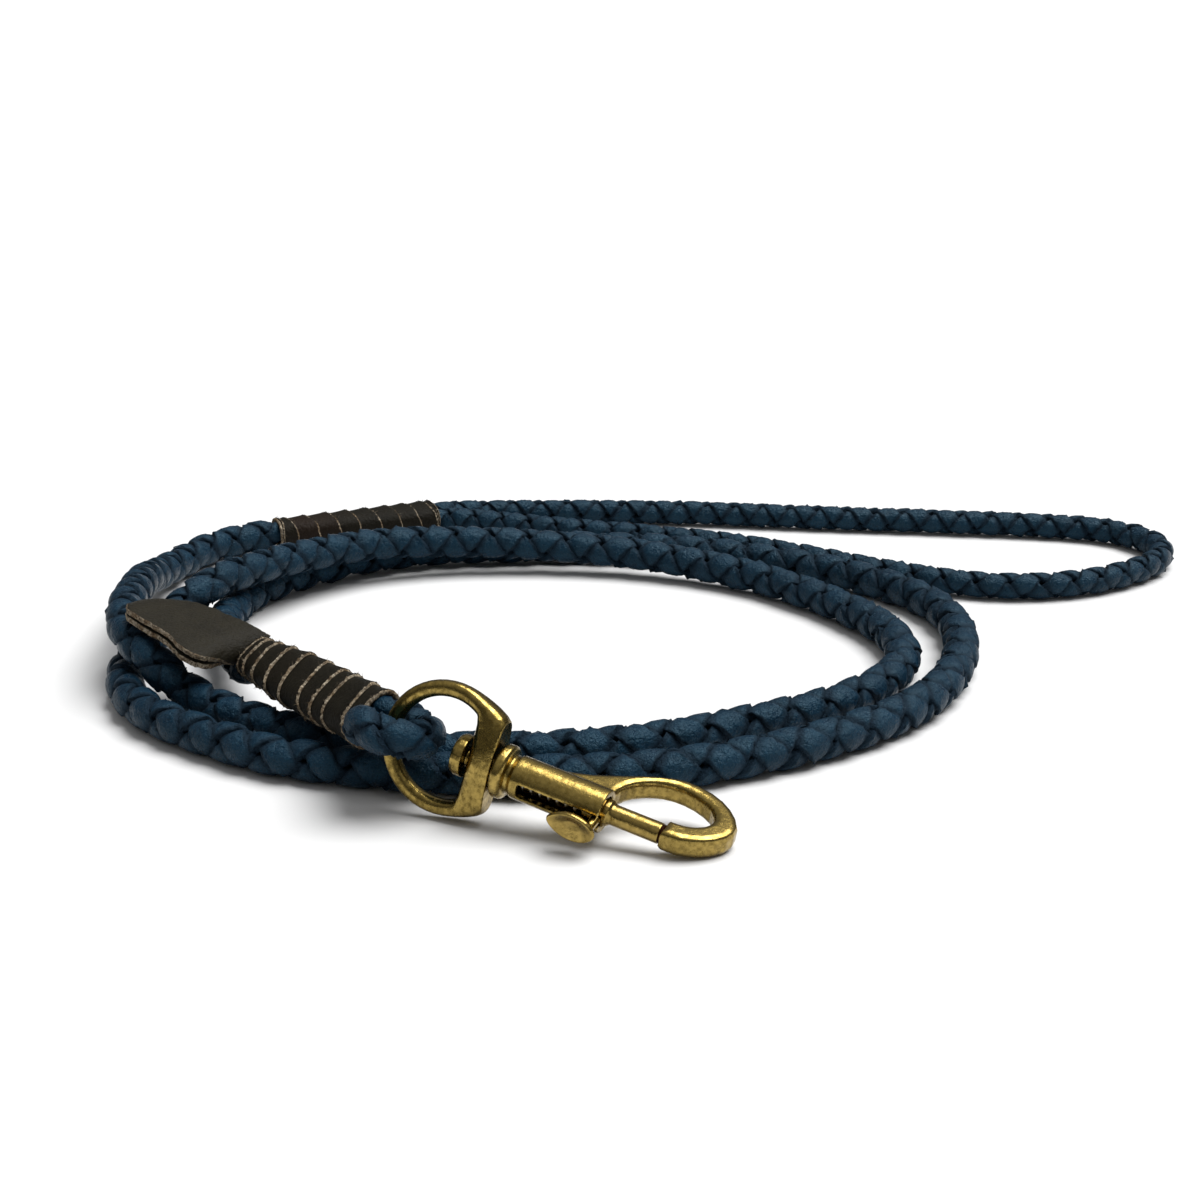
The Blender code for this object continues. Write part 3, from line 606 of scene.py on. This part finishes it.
def tube(name, points, radius, mat, sides=10):
    """A round wire through the points, in millimetres."""
    line = Line(points)
    angle = 2 * pi * np.arange(sides) / sides
    z = np.repeat(line.runs[:, None], sides, axis=1)
    verts = line.at(z, np.broadcast_to(angle, z.shape), np.full(z.shape, radius))
    return mesh_object(name, verts.reshape(-1, 3), grid_faces(len(points), sides), [mat])


def softened(node, name, voxel, passes, mat):
    """A CAD node's casting, remeshed finely and smoothed so that its corners are as soft as cast metal's."""
    obj = bpy.data.objects.new(name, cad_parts[node].data.copy())
    bpy.context.scene.collection.objects.link(obj)
    remesh = obj.modifiers.new("Remesh", "REMESH")
    remesh.mode = "VOXEL"
    remesh.voxel_size = voxel * MM
    soft = obj.modifiers.new("Smooth", "SMOOTH")
    soft.factor = 0.5
    soft.iterations = passes
    depsgraph = bpy.context.evaluated_depsgraph_get()
    mesh = bpy.data.meshes.new_from_object(obj.evaluated_get(depsgraph))
    obj.modifiers.clear()
    obj.data = mesh
    mesh.materials.clear()
    mesh.materials.append(mat)
    mesh.shade_smooth()
    return obj


# ---------------------------------------------------------------- materials
# Colours are linear red, green and blue. A material's noise scales are in cycles per millimetre, and its
# other numbers are shares of a colour, of a height or of roughness.

NAVY_DEEP = (0.0014, 0.0095, 0.0225)
NAVY_PALE = (0.0034, 0.0190, 0.0400)
NAVY_WORN = (0.0040, 0.0250, 0.0460)
# Dark of the laces' cut edges, and painted shade where they dip under each other.
NAVY_CUT_AND_DIP_SHADE = (0.0003, 0.0014, 0.0060)
NAVY_FUZZ = (0.040, 0.075, 0.120)
NAVY_SHEEN = (0.46, 0.82, 1.0, 1.0)
DUST = (0.12, 0.16, 0.20)
BROWN_DEEP = (0.0068, 0.0056, 0.0028)
BROWN_PALE = (0.0125, 0.0105, 0.0058)
BROWN_RED = (0.020, 0.0075, 0.0045)
BROWN_WORN = (0.024, 0.020, 0.012)
RAW_TAN = (0.22, 0.155, 0.088)
RAW_CREAM = (0.50, 0.43, 0.32)
RAW_DARK = (0.038, 0.022, 0.011)
RING_BRASS = ((0.40, 0.285, 0.080), (0.045, 0.029, 0.005))     # bright; tarnished
BODY_BRASS = ((0.42, 0.300, 0.085), (0.062, 0.040, 0.007))
PIN_BRASS = ((0.43, 0.305, 0.090), (0.080, 0.053, 0.010))
BRASS_CLOUD = 0.62              # a cloudy patch's share of the bright colour
STEEL = ((0.55, 0.52, 0.44), (0.30, 0.27, 0.20))
THREAD = ((0.30, 0.24, 0.16), (0.16, 0.12, 0.08))
FLOOR_COLOUR = (0.66, 0.66, 0.66, 1.0)
WRAP_LOOK = (0.62, 0.09)        # shade and gloss: see brown_leather
TAG_LOOK = (1.12, 0.13)
BRASSES = {                     # colours, tarnish and least roughness: see cast_brass
    "ring_brass": (RING_BRASS, 0.70, 0.16),
    "body_brass": (BODY_BRASS, 0.60, 0.17),
    "pin_brass": (PIN_BRASS, 0.44, 0.13),
}
# The seat's look paints the shade in the gap at the hook's tip.
SEAT_GAP_SHADE_LOOK = (SEAT_GAP_SHADE_COLOURS, 0.9, 0.5)


def new_material(name):
    mat = bpy.data.materials.new(name)
    mat.use_nodes = True
    return mat, mat.node_tree, mat.node_tree.nodes["Principled BSDF"]


def add(tree, kind, inputs=None, **settings):
    """A node with its settings and its inputs: a socket to link, or a value."""
    node = tree.nodes.new(kind)
    for key, value in settings.items():
        setattr(node, key, value)
    for key, value in (inputs or {}).items():
        if isinstance(value, bpy.types.NodeSocket):
            tree.links.new(value, node.inputs[key])
        else:
            node.inputs[key].default_value = value
    return node


def millimetres(tree):
    """Object coordinates in millimetres."""
    place = add(tree, "ShaderNodeTexCoord").outputs["Object"]
    scale = (1 / MM, 1 / MM, 1 / MM)
    return add(tree, "ShaderNodeVectorMath", {0: place, 1: scale}, operation="MULTIPLY").outputs[0]


def noise(tree, where, scale, detail=3.0, rough=0.55, low=0.0, high=1.0):
    """Noise of a scale in cycles per millimetre, stretched between two levels."""
    raw = add(tree, "ShaderNodeTexNoise",
              {"Vector": where, "Scale": scale, "Detail": detail, "Roughness": rough}).outputs["Fac"]
    return add(tree, "ShaderNodeMapRange",
               {"Value": raw, "From Min": low, "From Max": high}).outputs["Result"]


def blend(tree, factor, low, high):
    """A colour between two."""
    mix = add(tree, "ShaderNodeMix", {"Factor": factor}, data_type="RGBA")
    for socket, value in ((6, low), (7, high)):
        if isinstance(value, bpy.types.NodeSocket):
            tree.links.new(value, mix.inputs[socket])
        else:
            mix.inputs[socket].default_value = (*value, 1.0)
    return mix.outputs[2]


def calc(tree, operation, a, b=0.0, c=0.0):
    return add(tree, "ShaderNodeMath", {0: a, 1: b, 2: c}, operation=operation).outputs[0]


def bumps(tree, shader, heights):
    """Bump from several heights, each a socket and its size in millimetres."""
    normal = None
    for height, size in heights:
        inputs = {"Height": height, "Distance": size * MM, "Strength": 1.0}
        if normal is not None:
            inputs["Normal"] = normal
        normal = add(tree, "ShaderNodeBump", inputs).outputs["Normal"]
    tree.links.new(normal, shader.inputs["Normal"])


def attribute(tree, name):
    return add(tree, "ShaderNodeAttribute", attribute_name=name).outputs["Fac"]


def braid_leather():
    mat, tree, shader = new_material("braid_leather")
    mm = millimetres(tree)
    patches = noise(tree, mm, 0.16, 2.0, low=0.3, high=0.7)
    grain = noise(tree, mm, 2.6, 4.0, 0.6)
    mottle = noise(tree, mm, 0.7, 4.0, low=0.3, high=0.7)
    colour = blend(tree, patches, NAVY_DEEP, NAVY_PALE)
    colour = blend(tree, calc(tree, "MULTIPLY", mottle, 0.5), colour, NAVY_WORN)
    # The edge layer darkens the cut edges, and paints shade where the laces dip under each other.
    edge = attribute(tree, "edge")
    fuzz = noise(tree, mm, 3.4, 5.0, 0.7, 0.42, 0.62)
    rim = calc(tree, "MULTIPLY", edge, 0.92)
    colour = blend(tree, rim, colour, NAVY_CUT_AND_DIP_SHADE)
    light_rim = calc(tree, "MULTIPLY", calc(tree, "MULTIPLY", edge, fuzz), 0.22)
    colour = blend(tree, light_rim, colour, NAVY_FUZZ)
    flecks = noise(tree, mm, 2.2, 2.0, 0.5, 0.70, 0.76)
    dusty = noise(tree, mm, 0.05, 2.0, low=0.45, high=0.65)
    dust = calc(tree, "MULTIPLY", calc(tree, "MULTIPLY", flecks, dusty), 0.4)
    colour = blend(tree, dust, colour, DUST)
    tree.links.new(colour, shader.inputs["Base Color"])
    shader.inputs["Specular IOR Level"].default_value = 0.27
    shader.inputs["Specular Tint"].default_value = NAVY_SHEEN
    gloss = calc(tree, "MULTIPLY_ADD", mottle, 0.14, 0.25)
    gloss = calc(tree, "MULTIPLY_ADD", edge, 0.5, gloss)
    tree.links.new(gloss, shader.inputs["Roughness"])
    creases = add(tree, "ShaderNodeTexVoronoi", {"Vector": mm, "Scale": 1.1},
                  feature="DISTANCE_TO_EDGE").outputs["Distance"]
    creases = calc(tree, "MINIMUM", creases, 0.12)
    bumps(tree, shader, [(grain, 0.10), (mottle, 0.26), (creases, 0.45), (fuzz, 0.03)])
    return mat


def brown_leather(name, shade, gloss):
    """Smooth brown leather: shade scales its colour, and gloss is its specular level."""
    mat, tree, shader = new_material(name)
    mm = millimetres(tree)
    patches = noise(tree, mm, 0.22, 3.0, low=0.32, high=0.68)
    fine = noise(tree, mm, 1.3, 4.0, 0.6, 0.3, 0.7)
    grain = noise(tree, mm, 4.5, 3.0, 0.6)
    deep = tuple(shade * c for c in BROWN_DEEP)
    pale = tuple(shade * c for c in BROWN_PALE)
    colour = blend(tree, patches, deep, pale)
    red = calc(tree, "MULTIPLY", attribute(tree, "tint"), 0.5)
    red = calc(tree, "MAXIMUM", red, 0.0)
    colour = blend(tree, calc(tree, "MINIMUM", red, 0.75), colour, BROWN_RED)
    colour = blend(tree, calc(tree, "MULTIPLY", fine, 0.35 * shade), colour, BROWN_WORN)
    tree.links.new(colour, shader.inputs["Base Color"])
    tree.links.new(calc(tree, "MULTIPLY_ADD", fine, 0.15, 0.42), shader.inputs["Roughness"])
    shader.inputs["Specular IOR Level"].default_value = gloss
    pores = add(tree, "ShaderNodeTexVoronoi", {"Vector": mm, "Scale": 3.2}).outputs["Distance"]
    bumps(tree, shader, [(grain, 0.06), (pores, 0.10), (fine, 0.12)])
    return mat


def raw_leather():
    mat, tree, shader = new_material("raw_leather_edge")
    mm = millimetres(tree)
    fibres = noise(tree, mm, 2.0, 5.0, 0.75, 0.42, 0.58)
    patches = noise(tree, mm, 0.55, 3.0, low=0.35, high=0.65)
    colour = blend(tree, patches, RAW_TAN, RAW_CREAM)
    colour = blend(tree, calc(tree, "MULTIPLY", fibres, 0.88), colour, RAW_DARK)
    tree.links.new(colour, shader.inputs["Base Color"])
    shader.inputs["Roughness"].default_value = 0.92
    shader.inputs["Specular IOR Level"].default_value = 0.2
    bumps(tree, shader, [(fibres, 0.12)])
    return mat


def cast_brass(name, colours, cover, shine):
    """Cast brass in a bright and a tarnished colour: cover is the tarnish, and shine the least roughness. The
    hook's seat uses it with near black colours as painted shade.
    """
    mat, tree, shader = new_material(name)
    mm = millimetres(tree)
    bright, dark = colours
    clouds = noise(tree, mm, 0.24, 4.0, 0.6, 0.35, 0.65)
    stains = noise(tree, mm, 0.9, 5.0, 0.7, 0.40, 0.66)
    scratches = noise(tree, mm, 3.0, 3.0, 0.6)
    hollow = add(tree, "ShaderNodeNewGeometry").outputs["Pointiness"]
    hollow = add(tree, "ShaderNodeMapRange",
                 {"Value": hollow, "From Min": 0.50, "From Max": 0.44}).outputs["Result"]
    colour = blend(tree, calc(tree, "MULTIPLY", clouds, 0.8), bright, tuple(c * BRASS_CLOUD for c in bright))
    tarnish = calc(tree, "MULTIPLY_ADD", stains, cover, calc(tree, "MULTIPLY", hollow, 0.7))
    tarnish = calc(tree, "MINIMUM", tarnish, 1.0)
    colour = blend(tree, tarnish, colour, dark)
    tree.links.new(colour, shader.inputs["Base Color"])
    shader.inputs["Metallic"].default_value = 1.0
    gloss = calc(tree, "MULTIPLY_ADD", stains, 0.18, shine)
    tree.links.new(gloss, shader.inputs["Roughness"])
    bumps(tree, shader, [(clouds, 0.025), (stains, 0.012), (scratches, 0.004)])
    return mat


def spring_wire():
    mat, tree, shader = new_material("spring_wire")
    mm = millimetres(tree)
    streaks = noise(tree, mm, 1.5, 3.0, low=0.3, high=0.7)
    colour = blend(tree, streaks, *STEEL)
    tree.links.new(colour, shader.inputs["Base Color"])
    shader.inputs["Metallic"].default_value = 1.0
    shader.inputs["Roughness"].default_value = 0.3
    return mat


def lashing():
    mat, tree, shader = new_material("waxed_thread")
    mm = millimetres(tree)
    twist = noise(tree, mm, 2.0, 4.0, low=0.3, high=0.7)
    colour = blend(tree, twist, *THREAD)
    tree.links.new(colour, shader.inputs["Base Color"])
    shader.inputs["Roughness"].default_value = 0.8
    bumps(tree, shader, [(twist, 0.1)])
    return mat


def floor_material():
    mat, _, shader = new_material("pale_floor")
    shader.inputs["Base Color"].default_value = FLOOR_COLOUR
    shader.inputs["Roughness"].default_value = 0.9
    shader.inputs["Specular IOR Level"].default_value = 0.1
    return mat


# ---------------------------------------------------------------- camera

def set_camera():
    data = bpy.data.cameras.new("camera")
    data.lens = CAMERA_LENS
    data.sensor_width = CAMERA_SENSOR
    data.clip_start = CAMERA_NEAR
    camera = bpy.data.objects.new("camera", data)
    bpy.context.scene.collection.objects.link(camera)
    camera.location = Vector((LAY_SHIFT[0], LAY_SHIFT[1] - CAMERA_BACK, CAMERA_UP)) * MM
    camera.rotation_euler = (pi / 2 - CAMERA_DROP, 0, 0)
    bpy.context.scene.camera = camera


def set_lights():
    data = bpy.data.lights.new("key", "SUN")
    data.energy = KEY_POWER
    data.angle = KEY_SOFTNESS
    key = bpy.data.objects.new("key", data)
    bpy.context.scene.collection.objects.link(key)
    key.rotation_euler = Vector(KEY_FROM).to_track_quat("Z", "Y").to_euler()
    world = bpy.data.worlds.new("studio")
    world.use_nodes = True
    tree = world.node_tree
    way = add(tree, "ShaderNodeTexCoord").outputs["Generated"]
    height = add(tree, "ShaderNodeSeparateXYZ", {0: way}).outputs["Z"]
    glow = add(tree, "ShaderNodeMapRange", {"Value": height, "From Min": SKY_HEIGHTS[0],
                                            "From Max": SKY_HEIGHTS[1]}).outputs["Result"]
    sky = blend(tree, glow, SKY_LOW, SKY_HIGH)
    seen = add(tree, "ShaderNodeLightPath").outputs["Is Camera Ray"]
    sky = blend(tree, seen, sky, BACKDROP)
    tree.links.new(sky, tree.nodes["Background"].inputs["Color"])
    tree.nodes["Background"].inputs["Strength"].default_value = 1.0
    bpy.context.scene.world = world
    bpy.context.scene.view_settings.view_transform = "Standard"


def set_floor():
    mesh = bpy.data.meshes.new("floor")
    reach = FLOOR_REACH
    corners = [(-reach, -reach, 0), (reach, -reach, 0), (reach, reach, 0), (-reach, reach, 0)]
    mesh.from_pydata(corners, [], [(0, 1, 2, 3)])
    mesh.materials.append(floor_material())
    floor = bpy.data.objects.new("floor", mesh)
    floor.location = (0, 0, -FLOOR_DROP)
    bpy.context.scene.collection.objects.link(floor)


# ---------------------------------------------------------------- pieces

def place_piece(obj, body, slot, *nodes):
    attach(obj, body)
    if nodes:
        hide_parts(*nodes)
    return obj


def grounded(points, radius):
    """The points, none lower than a cord of that radius lies."""
    points[:, 2] = np.maximum(points[:, 2], radius)
    return points


def swell_of(line, start, end):
    """A braid's size by length, from its first and its last stretch, each as lengths and sizes.

    The last stretch's lengths count back from the line's end.
    """
    return (*start[0], *(line.length + z for z in end[0])), (*start[1], *end[1])


def mirrored(stretch):
    """A first stretch turned round to be the last."""
    lengths, sizes = stretch
    return tuple(-z for z in lengths[::-1]), sizes[::-1]


def make_lead(leather):
    along, _, _, _ = wrap_frame(HANDLE_WRAP, 0.0)
    snap_along, _, _, _ = wrap_frame(SNAP_WRAP, SNAP_WRAP_ROLL)
    head = HANDLE_WRAP[0] + along * LEAD_TUCK
    tail = SNAP_WRAP[0] + snap_along * LEAD_TAIL[0] - UP * LEAD_TAIL[1]
    route = [tuple(head)] + LEAD_ROUTE + [tuple(tail)]
    line = Line(grounded(even(lay(route), LINE_STEP), BRAID_R))
    swell = swell_of(line, LEAD_SWELL, LEAD_TAIL_SWELL)
    obj = braid("braided_lead", line, BRAID_R, leather, LEAD_SEED, LEAD_ROLL, swell)
    place_piece(obj, "lead", "navy leather", "lead_braid")


def make_handle(leather):
    along, across, _, _ = wrap_frame(HANDLE_WRAP, 0.0)
    tucked, aside = HANDLE_TUCK
    first = HANDLE_WRAP[1] - along * tucked + across * aside
    last = HANDLE_WRAP[1] - along * tucked - across * aside
    route = [tuple(first)] + HANDLE_ROUTE + [tuple(last)]
    line = Line(grounded(even(lay(route), LINE_STEP), HANDLE_R))
    swell = swell_of(line, HANDLE_SWELL, mirrored(HANDLE_SWELL))
    obj = braid("braided_handle", line, HANDLE_R, leather, HANDLE_SEED, HANDLE_ROLL, swell)
    place_piece(obj, "lead", "navy leather", "handle_braid")


def make_loop(leather):
    along, across, _, _ = wrap_frame(SNAP_WRAP, SNAP_WRAP_ROLL)
    s_axis, _, limb_axis = snap_axes(EYE_LEAN)
    limb = EYE_CENTRE - s_axis * (EYE_R - EYE_LIMB)
    side = LOOP_SIDE
    corner = side * LOOP_CORNER
    ahead = along - limb_axis * along.dot(limb_axis)
    ahead /= np.linalg.norm(ahead)
    aside = np.cross(limb_axis, ahead)
    mouth = SNAP_WRAP[1]
    near = mouth + along * LOOP_NEAR
    inside = [near - along * back for back in np.arange(LOOP_TUCK, -LOOP_SPACING / 2, -LOOP_SPACING)]
    bend = [limb + aside * side, limb + (ahead + aside) * corner, limb + ahead * side,
            limb + (ahead - aside) * corner, limb - aside * side]
    leg = across * LOOP_LEGS
    route = [p + leg for p in inside] + bend + [p - leg for p in inside[::-1]]
    line = Line(even(lay(route), LOOP_STEP))
    swell = swell_of(line, LOOP_SWELL, mirrored(LOOP_SWELL))
    obj = braid("braided_loop", line, LOOP_R, leather, LOOP_SEED, LOOP_ROLL, swell)
    place_piece(obj, "lead", "navy leather", "snap_loop_braid")


def make_wrap(node, place, edges, mats, fibre_count, seeds):
    """A wrap: its wound strip, the fibres of its edge and a rim at each end.

    place is the wrap's ends, roll, shape and inside half sizes. seeds are the strip's, the fibres' and the
    first rim's.
    """
    strip, roots, ways = wound_strip(f"{node}_strip", *place, edges, mats, seeds[0])
    place_piece(strip, "lead", "brown leather", node)
    loose = fibres(f"{node}_fibres", roots, ways, mats[1], fibre_count, seeds[1])
    place_piece(loose, "lead", "brown leather")
    for at_end in (False, True):
        rim = wrap_mouth(f"{node}_rim_{int(at_end)}", *place, at_end, mats, seeds[2] + at_end)
        place_piece(rim, "lead", "brown leather")


def make_wraps(leather, raw):
    mats = [leather, raw]
    snap = (SNAP_WRAP, SNAP_WRAP_ROLL, SNAP_WRAP_SHAPE, SNAP_WRAP_HALF)
    handle = (HANDLE_WRAP, 0.0, HANDLE_WRAP_SHAPE, HANDLE_WRAP_HALF)
    make_wrap("snap_wrap", snap, SNAP_WRAP_EDGES, mats, SNAP_WRAP_FIBRES, SNAP_WRAP_SEEDS)
    make_wrap("handle_wrap", handle, HANDLE_WRAP_EDGES, mats, HANDLE_WRAP_FIBRES, HANDLE_WRAP_SEEDS)


def make_tag(leather, raw):
    lift = (TAG_PLY + TAG_GAP) / 2
    upper = tag_ply("tag_top_ply", lift, TAG_CURL[0], [leather, raw], TAG_SEEDS[0])
    place_piece(upper, "lead", "brown leather", "tag_upper")
    lower = tag_ply("tag_under_ply", -lift, TAG_CURL[1], [leather, raw], TAG_SEEDS[1])
    place_piece(lower, "lead", "brown leather", "tag_lower")


def make_snap():
    metals = {name: cast_brass(name, *look) for name, look in BRASSES.items()}
    for node, name, body, voxel, passes, metal in CASTINGS:
        casting = softened(node, name, voxel, passes, metals[metal])
        place_piece(casting, body, "brass", node)


def make_seat_gap_shade():
    """A dark plug on the hook's tip, where the bolt closes: painted shade in the gap between the bolt's end
    and the tip.
    """
    s_axis, _, _ = snap_axes(HOOK_ROLL)
    centre = EYE_CENTRE + LAY_SHIFT
    points = centre + s_axis * np.linspace(SEAT_SPAN[0], SEAT_SPAN[1], 3)[:, None]
    obj = tube("hook_seat_gap_shade", points, SEAT_R, cast_brass("seat_gap_shade", *SEAT_GAP_SHADE_LOOK), SEAT_SIDES)
    place_piece(obj, "snap", "brass")


def make_spring(wire):
    s_axis, v_axis, w_axis = snap_axes(HOOK_ROLL)
    centre = EYE_CENTRE + LAY_SHIFT
    start, stop = SPRING_SPAN
    count = SPRING_TURNS * SPRING_STEPS
    turn = 2 * pi * np.arange(count + 1) / SPRING_STEPS
    s = np.linspace(start + SPRING_CLEAR, stop - SPRING_CLEAR, count + 1)
    points = (centre + s_axis * s[:, None] + v_axis * (SPRING_R * np.cos(turn))[:, None]
              + w_axis * (SPRING_R * np.sin(turn))[:, None])
    obj = tube("coil_spring", points, SPRING_WIRE, wire)
    place_piece(obj, "snap", "spring steel", "bolt_spring")
    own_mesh(obj)


def build():
    set_camera()
    set_lights()
    set_floor()
    navy = braid_leather()
    brown = brown_leather("wrap_leather", *WRAP_LOOK)
    tongue = brown_leather("tag_leather", *TAG_LOOK)
    raw = raw_leather()
    make_lead(navy)
    make_handle(navy)
    make_loop(navy)
    make_wraps(brown, raw)
    make_tag(tongue, raw)
    make_snap()
    make_seat_gap_shade()
    make_spring(spring_wire())
    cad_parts["handle_binding"].data.materials[0] = lashing()


build()
